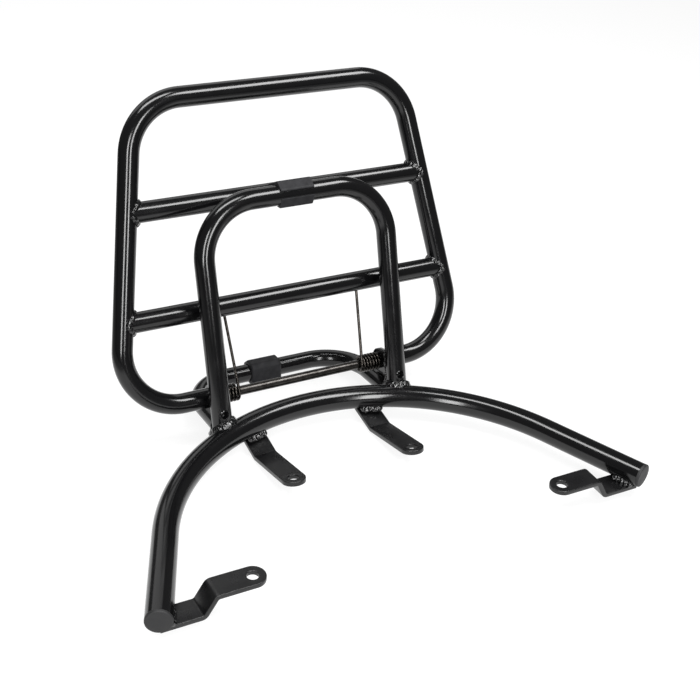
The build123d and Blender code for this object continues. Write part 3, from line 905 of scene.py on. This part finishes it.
class RACK_OT_springs(RackOperator, bpy.types.Operator):
    """Torsion springs: long leg into the lower crossbar, coil round the rod, short leg on the loop's arm"""

    bl_idname = "rack.springs"
    bl_label = "Torsion springs"

    # How far from its outer end, in pitches, the stretch of a coil that would turn with the flap starts;
    # nothing here turns it
    TURN_START = 0.2

    def build(self, s, at):
        """Round wire along a line: the long leg, the coil and the short leg, which meet the coil at tangents.

        The coil is hinge + radius * (cos(turn), sin(turn)) across the rod, moving along it with the turn.
        """
        outer = at.ear_middle - s.ear_thickness / 2 - s.spring_gap - s.wire / 2
        tip_y = HINGE[1] + s.short_leg_reach
        beside = at.loop_half_width - outer
        arm_top = math.sqrt(at.loop_r**2 - beside**2) / math.cos(s.loop_drop)
        arm_z = at.arch_z - (tip_y - at.loop.origin[1]) * math.tan(s.loop_drop)
        short_tip = np.array((0.0, tip_y, arm_z + arm_top + s.wire / 2 + s.rest_gap))
        long_tip = at.flap.at(0.0, s.low_bar_rise)
        start = leg_angle(long_tip, s.coil_radius, 1)
        sweep = (leg_angle(short_tip, s.coil_radius, -1) - start) % (2 * np.pi) + s.coil_turns * 2 * np.pi
        inner = outer - s.coil_pitch * sweep / (2 * np.pi)
        share = np.linspace(0.0, 1.0, round(COIL_POINTS * sweep / (2 * np.pi)))
        turn = start + sweep * share
        y, z = HINGE[1] + s.coil_radius * np.cos(turn), HINGE[2] + s.coil_radius * np.sin(turn)
        for side, sign in SIDES.items():
            coil = np.stack((sign * (inner + (outer - inner) * share), y, z), -1)
            leg = long_tip + sign * (inner + s.long_leg_splay) * ACROSS
            foot = short_tip + sign * outer * ACROSS
            long_leg = straight_run(leg, coil[0], STATION_STEP)[0][:-1]
            short_leg = straight_run(coil[-1], foot, STATION_STEP)[0][1:]
            points = np.concatenate((long_leg, coil, short_leg))
            ways = unit(np.gradient(points, axis=0))
            grid = round_section(points, ways, ACROSS, s.wire / 2, round_angles(WIRE_POINTS))
            turn_from = (sign * (outer - self.TURN_START * s.coil_pitch), HINGE[1], HINGE[2])
            turn_to = (sign * (inner + s.long_leg_splay + s.wire / 2), HINGE[1], HINGE[2])
            add_piece(f"torsion_spring_wire_{side}", [(grid, None)], rack_material("tempered_spring_wire"),
                      ("frame", "flap", turn_from, turn_to), [f"torsion_spring_{side}"])


def leg_angle(tip, radius, sense):
    """Angle on a coil about the hinge where the straight run to a tip leaves it."""
    y, z = tip[1] - HINGE[1], tip[2] - HINGE[2]
    return math.atan2(z, y) + sense * math.acos(radius / math.hypot(y, z))


class RACK_OT_rubber(RackOperator, bpy.types.Operator):
    """Rubber stop round the top of the hoop, open between two lips in front, and rubber buffer on the loop"""

    bl_idname = "rack.rubber"
    bl_label = "Rubber stops"

    def build(self, s, at):
        """Faceted outlines across the tubes, at angles counted from the rear upwards, carried along them.

        The stop's outline falls back to the tube in its mouth, and its underside starts where its chin ends.
        """
        bar = (at.flap.at(0.0, at.high_bar_rise) - at.hoop.origin) @ -at.hoop.out
        tube, below = at.frame_r, at.frame_r + s.stop_lip
        chin, under = math.pi + s.stop_chin_slope, 1.5 * math.pi + s.stop_rear_rise
        chin_reach = tube + s.stop_chin_wall
        lip = (chin_reach + below * math.sin(chin)) / math.cos(chin)
        lines = ((0.0, bar - tube - s.rest_gap),
                 (math.pi / 2 - s.stop_top_slope, tube + s.stop_top_wall),
                 (math.pi / 2 + s.stop_shoulder_slope, tube + s.stop_shoulder_wall),
                 (math.pi, tube + s.stop_front_wall),
                 (chin, chin_reach),
                 (under, math.cos(under) * lip - math.sin(under) * below))
        angles = round_angles(RUBBER_POINTS)
        outline = faceted_outline(lines, angles)
        mouth = (angles > math.pi - s.stop_mouth_top) & (angles < math.pi + s.stop_mouth_low)
        outline[mouth] = (tube - s.coat / 2) * unit(outline[mouth])
        grid = sleeve_surface(at.hoop.at(0.0, s.hoop_height), ACROSS, -at.hoop.out, at.hoop.up, outline,
                              s.frame_tube / 2, s.stop_length, s.stop_round)
        self.add_rubber("hoop_stop_moulded", grid, "hoop_rubber_stop")
        half, quarter = s.buffer_size / 2, math.pi / 4
        sides = [(0.0, half), (s.buffer_seat_slope, s.buffer_seat), (2 * quarter, half + s.buffer_raise)]
        sides += [(turn * quarter, half if turn % 2 == 0 else s.buffer_bevel) for turn in range(3, 8)]
        outline = faceted_outline(sides, angles)
        grid = sleeve_surface(at.loop.at(s.buffer_shift, s.loop_reach), ACROSS, at.loop.up, at.loop.out,
                              outline, s.loop_tube / 2, s.buffer_length, s.buffer_round)
        self.add_rubber("loop_buffer_moulded", grid, "loop_rubber_buffer")

    def add_rubber(self, name, grid, node):
        """One rubber piece on the frame, in place of a node."""
        rubber = rack_material("moulded_black_rubber")
        add_piece(name, [(grid, None)], rubber, "frame", [node])


class RACK_OT_tabs(RackOperator, bpy.types.Operator):
    """Front and rear mounting tabs of bent flat bar, each with a round tip about its bolt hole"""

    bl_idname = "rack.tabs"
    bl_label = "Mounting tabs"

    def build(self, s, at):
        half = s.tab_width / 2
        bend_x = at.front_root[0] - s.front_tab_run
        upper_x = bend_x - s.front_tab_step
        tip_x = upper_x - s.front_hole_reach - half
        high_z = at.low_z + s.front_tab_rise
        front = ((at.front_root[0] + s.front_tab_overlap, 0.0, at.low_z), (bend_x, 0.0, at.low_z),
                 (upper_x, 0.0, high_z), (tip_x, 0.0, high_z))
        bend = np.array((s.rear_tab_x, at.rear_y - s.rear_tab_bend, at.rear_root_z - s.rear_tab_drop))
        climb = np.array((0.0, -s.rear_hole_reach, s.rear_tab_climb))
        tip = bend + climb + unit(climb) * half
        rear = ((s.rear_tab_x, at.rear_y + s.rear_tab_root, at.rear_root_z), bend, tip)
        for side, sign in SIDES.items():
            for name, corners in (("front", front), ("rear", rear)):
                line = bent_line([mirrored(corner, sign) for corner in corners], s.tab_bend, FINE_STEP)
                grids = plate_grids(line, UPWARD, s.tab_width, s.tab_thickness, s.tab_hole / 2, s.plate_round)
                coated(f"{name}_tab_{side}", grids, "frame", [f"{name}_mount_tab_{side}"], "satin")


class RACK_OT_welds(RackOperator, bpy.types.Operator):
    """Weld beads at every joint of the tubes, ears and tabs"""

    bl_idname = "rack.welds"
    bl_label = "Weld beads"

    # How far a bead stands out of its joint, and off the arch's side, in shares of its half width
    STAND_OUT = 0.25
    FRONT_TAB_OFF = 0.3
    REAR_TAB_OFF = 0.5
    # How far beads lean to their pieces' own ways, and how blunt the turn of a crossbar's bead is
    FOOT_LEAN = 0.6
    FRONT_TAB_LEAN = 0.8
    BAR_BLUNT = 0.03
    # How far down the arch the tabs' beads run, and how far beads reach, in shares of the pieces' half sizes
    ARCH_DROP = 0.78
    FRONT_TAB_SPAN = 0.92
    REAR_TAB_SPAN = 0.95
    EAR_SPAN = 0.9
    REAR_TAB_POINTS = 40
    # Where the waves of each kind of bead start
    FOOT_SEED = 3.0
    ARM_SEED = 5.0
    FRONT_TAB_SEED = 7.0
    REAR_TAB_SEED = 9.0
    EAR_SEED = 11.0

    def build(self, s, at):
        angles = round_angles(JOINT_POINTS)
        for number, (side, sign) in enumerate(SIDES.items()):
            for name, rise in (("lower", s.low_bar_rise), ("upper", at.high_bar_rise)):
                path = crossbar_end(s, at, rise, sign, angles, self.BAR_BLUNT)
                out = self.outwards(path, at.flap.at(0.0, rise), ACROSS) - sign * ACROSS
                self.bead(f"weld_crossbar_{name}_{side}", path, out, s.bar_bead, rise / MM + number, "flap")
            path = hoop_foot(s, at, sign, angles)
            out = self.outwards(path, at.hoop.at(sign * s.hoop_half_width, 0.0), at.hoop.up)
            out += self.FOOT_LEAN * at.hoop.up
            self.bead(f"weld_hoop_foot_{side}", path, out, s.foot_bead, self.FOOT_SEED + number)
            path = self.loop_root(s, at, sign, angles)
            out = self.outwards(path, at.loop.at(sign * at.loop_half_width, 0.0), at.loop.up) + at.loop.up
            self.bead(f"weld_loop_arm_{side}", path, out, s.arm_bead, self.ARM_SEED + number)
            self.tab_beads(s, at, side, sign)
            self.ear_beads(s, at, side, sign)

    def outwards(self, path, middle, axis):
        """Directions straight out of an axis through a middle point, at each point of a path round it."""
        away = path - middle
        return unit(away - (away @ axis)[:, None] * axis)

    def bead(self, name, path, out, radius, seed, body="frame", closed=True):
        """One bead piece along a path, riding on a body."""
        pool = bpy.context.scene.rack_sizes.pool
        out = unit(np.broadcast_to(out, path.shape))
        grid = bead_surface(path + self.STAND_OUT * radius * out, out, radius, pool, closed, seed)
        add_piece(name, [(grid, None)], rack_material("black_coated_weld"), body)

    def loop_root(self, s, at, sign, angles):
        """Ring where an arm of the support loop meets the back of the arch."""
        spread = np.cos(angles)[:, None] * ACROSS + np.sin(angles)[:, None] * at.loop.out
        starts = at.loop.at(sign * at.loop_half_width, 0.0) + at.loop_r * spread

        def depth(points):
            return at.arch_distance(points) - at.arch_r

        return first_contact(starts, at.loop.up, depth, 2 * s.arch_tube)

    def tab_beads(self, s, at, side, sign):
        """Beads between the tabs and the arch."""
        half = s.tab_width / 2
        inwards = np.array((at.leg_way[1], -at.leg_way[0], 0.0))
        drop = self.ARCH_DROP * at.arch_r
        beside = math.sqrt(at.arch_r**2 - drop**2)
        middle = at.front_root + inwards * (beside + self.FRONT_TAB_OFF * s.tab_bead) - drop * UPWARD
        run = at.leg_way * half * self.FRONT_TAB_SPAN
        path = straight_run(mirrored(middle - run, sign), mirrored(middle + run, sign), FINE_STEP)[0]
        out = mirrored(inwards + self.FRONT_TAB_LEAN * UPWARD, sign)
        seed = self.FRONT_TAB_SEED + sign
        self.bead(f"weld_front_tab_{side}", path, out, s.tab_bead, seed, closed=False)
        share = np.linspace(-self.REAR_TAB_SPAN, self.REAR_TAB_SPAN, self.REAR_TAB_POINTS)
        x = sign * (s.rear_tab_x + share * half)
        y = at.arch_y(x) - beside - self.REAR_TAB_OFF * s.tab_bead
        path = np.stack((x, y, np.full(len(x), at.arch_z - drop)), -1)
        seed = self.REAR_TAB_SEED + sign
        self.bead(f"weld_rear_tab_{side}", path, UPWARD - REARWARD, s.tab_bead, seed, closed=False)

    def ear_beads(self, s, at, side, sign):
        """Beads along both faces of an ear, where it stands on its hoop leg."""
        rises = (s.loop_tube / 2 + s.ear_bead, s.hinge_rise + self.EAR_SPAN * s.ear_radius)
        for face, way in (("inner", -1), ("outer", 1)):
            offset = way * s.ear_thickness / 2 - s.ear_inset
            depth = math.sqrt(at.frame_r**2 - offset**2)
            ends = at.hoop.at(sign * (s.hoop_half_width + offset), rises, -depth)
            path = straight_run(*ends, FINE_STEP)[0]
            out = sign * way * ACROSS - at.hoop.out
            seed = self.EAR_SEED + sign + way
            self.bead(f"weld_ear_{face}_{side}", path, out, s.ear_bead, seed, closed=False)


class RACK_OT_stage(bpy.types.Operator):
    """Pale studio floor, soft lights and the camera"""

    bl_idname = "rack.stage"
    bl_label = "Stage"

    # Camera fitted to the picture, which is square
    EYE = (-0.4212, -0.5969, 0.5951)
    AIM = (0.0412, 0.1905, 0.0410)
    ROLL = math.radians(4.72)
    FOCAL_PX = 1240.6
    PICTURE_PX = 700
    # Strength of the room's light, and of the glow that the camera sees
    ROOM = 0.12
    GLOW = 0.85
    # Half the floor's width, and how far below the rack it lies
    FLOOR_REACH = 40.0
    FLOOR_GAP = 0.2 * MM
    # Half width of the lit wedge at the camera's foot, how much it gains for each metre, and its soft edge
    WEDGE_HALF = 0.22
    WEDGE_GAIN = 0.26
    WEDGE_EDGE = 0.12
    # Lamps: name, place, aim, width, height and watts
    LAMPS = (
        ("softbox_over", (0.55, -0.22, 1.35), (0.0, 0.2, 0.1), 0.9, 0.36, 14.5),
        ("softbox_high", (-0.27, 0.24, 1.4), (0.2, 0.0, 0.0), 0.3, 0.9, 10.5),
        ("softbox_rear", (0.0, 1.45, 1.0), (0.0, 0.1, 0.05), 1.8, 0.9, 4.5),
        ("strip_left", (-0.86, -0.93, 0.68), (0.0, 0.2, 0.1), 0.26, 0.85, 10.5),
        ("strip_right", (-0.03, -1.13, 0.68), (0.0, 0.2, 0.1), 0.26, 0.85, 10.5),
    )

    def execute(self, context):
        scene = context.scene
        scene.view_settings.view_transform = "Standard"
        self.add_camera(scene)
        self.add_floor(scene)
        self.add_world(scene)
        for lamp in self.LAMPS:
            self.add_softbox(scene, *lamp)
        return {"FINISHED"}

    def add_camera(self, scene):
        """Camera at the eye point, looking at the aim and rolled about its own line of sight."""
        forward = (Vector(self.AIM) - Vector(self.EYE)).normalized()
        level = forward.cross(Vector((0, 0, 1))).normalized()
        upright = level.cross(forward)
        right = math.cos(self.ROLL) * level + math.sin(self.ROLL) * upright
        up = right.cross(forward)
        lens = bpy.data.cameras.new("camera")
        lens.lens = lens.sensor_width * self.FOCAL_PX / self.PICTURE_PX
        camera = bpy.data.objects.new("camera", lens)
        turn = Matrix((right, up, -forward)).transposed()
        camera.matrix_world = Matrix.Translation(self.EYE) @ turn.to_4x4()
        scene.collection.objects.link(camera)
        scene.camera = camera

    def seen_directly(self, tree, place):
        """One where a camera ray meets the floor, or a glossy or transmission ray meets its lit wedge."""
        path = add_node(tree, "ShaderNodeLightPath")
        mirrored_in = add_node(tree, "ShaderNodeMath", {
            0: path.outputs["Is Glossy Ray"], 1: path.outputs["Is Transmission Ray"]}, operation="MAXIMUM")
        in_wedge = add_node(tree, "ShaderNodeMath", {
            0: mirrored_in.outputs[0], 1: self.lit_wedge(tree, place)}, operation="MULTIPLY")
        return add_node(tree, "ShaderNodeMath", {
            0: path.outputs["Is Camera Ray"], 1: in_wedge.outputs[0]}, operation="MAXIMUM").outputs[0]

    def lit_wedge(self, tree, place):
        """One on the wedge of floor that widens away from the camera's foot, fading to zero beside it.

        With a the distance along the line of sight and b the distance aside, it is the smooth step of
        (half + gain * a - |b|) / edge.
        """
        sight = unit(np.array((self.AIM[0] - self.EYE[0], self.AIM[1] - self.EYE[1], 0.0)))
        foot = add_node(tree, "ShaderNodeVectorMath", {
            0: place, 1: (self.EYE[0], self.EYE[1], 0.0)}, operation="SUBTRACT").outputs["Vector"]
        along = add_node(tree, "ShaderNodeVectorMath", {0: foot, 1: sight}, operation="DOT_PRODUCT")
        aside = add_node(tree, "ShaderNodeVectorMath", {
            0: foot, 1: (sight[1], -sight[0], 0.0)}, operation="DOT_PRODUCT")
        off = add_node(tree, "ShaderNodeMath", {0: aside.outputs["Value"]}, operation="ABSOLUTE")
        width = add_node(tree, "ShaderNodeMath", {
            0: along.outputs["Value"], 1: self.WEDGE_GAIN, 2: self.WEDGE_HALF}, operation="MULTIPLY_ADD")
        inside = add_node(tree, "ShaderNodeMath", {
            0: width.outputs[0], 1: off.outputs[0]}, operation="SUBTRACT")
        step = add_node(tree, "ShaderNodeMapRange", {
            "Value": inside.outputs[0], "From Min": 0.0, "From Max": self.WEDGE_EDGE},
            interpolation_type="SMOOTHSTEP")
        return step.outputs[0]

    def add_floor(self, scene):
        """Wide floor just under the rack: white to the eye, and it still takes the rack's shadow."""
        material, tree, place = new_material("studio_paper")
        grain = add_node(tree, "ShaderNodeTexNoise", {"Vector": place, "Scale": per_metre(3), "Detail": 2.0})
        bump = add_node(tree, "ShaderNodeBump", {"Height": grain.outputs["Fac"], "Distance": 0.02 * MM})
        paper = add_node(tree, "ShaderNodeBsdfDiffuse", {
            "Color": (*scene.rack_finish.floor, 1.0), "Normal": bump.outputs["Normal"]})
        strength = add_node(tree, "ShaderNodeMath", {
            0: self.seen_directly(tree, place), 1: self.GLOW}, operation="MULTIPLY")
        glow = add_node(tree, "ShaderNodeEmission", {"Strength": strength.outputs[0]})
        both = add_node(tree, "ShaderNodeAddShader", {0: paper.outputs[0], 1: glow.outputs[0]})
        finish_material(tree, both)
        reach, level = self.FLOOR_REACH, FLOOR_Z - self.FLOOR_GAP
        corners = [(x * reach, y * reach, level) for x, y in ((-1, -1), (1, -1), (1, 1), (-1, 1))]
        mesh = bpy.data.meshes.new("studio_floor")
        mesh.from_pydata(corners, [], [(0, 1, 2, 3)])
        mesh.materials.append(material)
        floor = bpy.data.objects.new("studio_floor", mesh)
        scene.collection.objects.link(floor)

    def add_world(self, scene):
        """Dim grey room light, which the camera sees as pale as the far floor."""
        world = bpy.data.worlds.new("studio_room")
        world.use_nodes = True
        tree = world.node_tree
        tree.nodes.clear()
        seen = add_node(tree, "ShaderNodeLightPath").outputs["Is Camera Ray"]
        tone = add_node(tree, "ShaderNodeMapRange", {"Value": seen, "To Min": self.ROOM, "To Max": self.GLOW})
        white = (1.0, 1.0, 1.0, 1.0)
        room = add_node(tree, "ShaderNodeBackground", {"Color": white, "Strength": tone.outputs[0]})
        add_node(tree, "ShaderNodeOutputWorld", {"Surface": room.outputs[0]})
        scene.world = world

    def add_softbox(self, scene, name, place, aim, width, height, energy):
        """Rectangular lamp at a place, turned to an aim."""
        lamp = bpy.data.lights.new(name, "AREA")
        lamp.shape = "RECTANGLE"
        lamp.size, lamp.size_y, lamp.energy = width, height, energy
        box = bpy.data.objects.new(name, lamp)
        box.location = place
        box.rotation_euler = (Vector(aim) - Vector(place)).to_track_quat("-Z", "Y").to_euler()
        scene.collection.objects.link(box)


class RACK_PT_panel(bpy.types.Panel):
    """Sidebar panel with one button for each group of pieces"""

    bl_idname = "RACK_PT_panel"
    bl_label = "Luggage rack"
    bl_space_type = "VIEW_3D"
    bl_region_type = "UI"
    bl_category = "Rack"

    def draw(self, context):
        for operator in OPERATORS:
            self.layout.operator(operator.bl_idname)


OPERATORS = (
    RACK_OT_arch, RACK_OT_hoop, RACK_OT_loop, RACK_OT_flap, RACK_OT_hinge, RACK_OT_springs, RACK_OT_rubber,
    RACK_OT_tabs, RACK_OT_welds, RACK_OT_stage,
)
CLASSES = (RackSizes, RackFinish, *OPERATORS, RACK_PT_panel)


def register():
    for item in CLASSES:
        bpy.utils.register_class(item)
    bpy.types.Scene.rack_sizes = bpy.props.PointerProperty(type=RackSizes)
    bpy.types.Scene.rack_finish = bpy.props.PointerProperty(type=RackFinish)


def unregister():
    del bpy.types.Scene.rack_finish
    del bpy.types.Scene.rack_sizes
    for item in reversed(CLASSES):
        bpy.utils.unregister_class(item)


def main():
    """Builds every piece and the stage."""
    register()
    bpy.ops.rack.arch()
    bpy.ops.rack.hoop()
    bpy.ops.rack.loop()
    bpy.ops.rack.flap()
    bpy.ops.rack.hinge()
    bpy.ops.rack.springs()
    bpy.ops.rack.rubber()
    bpy.ops.rack.tabs()
    bpy.ops.rack.welds()
    bpy.ops.rack.stage()


if __name__ == "__main__":
    main()
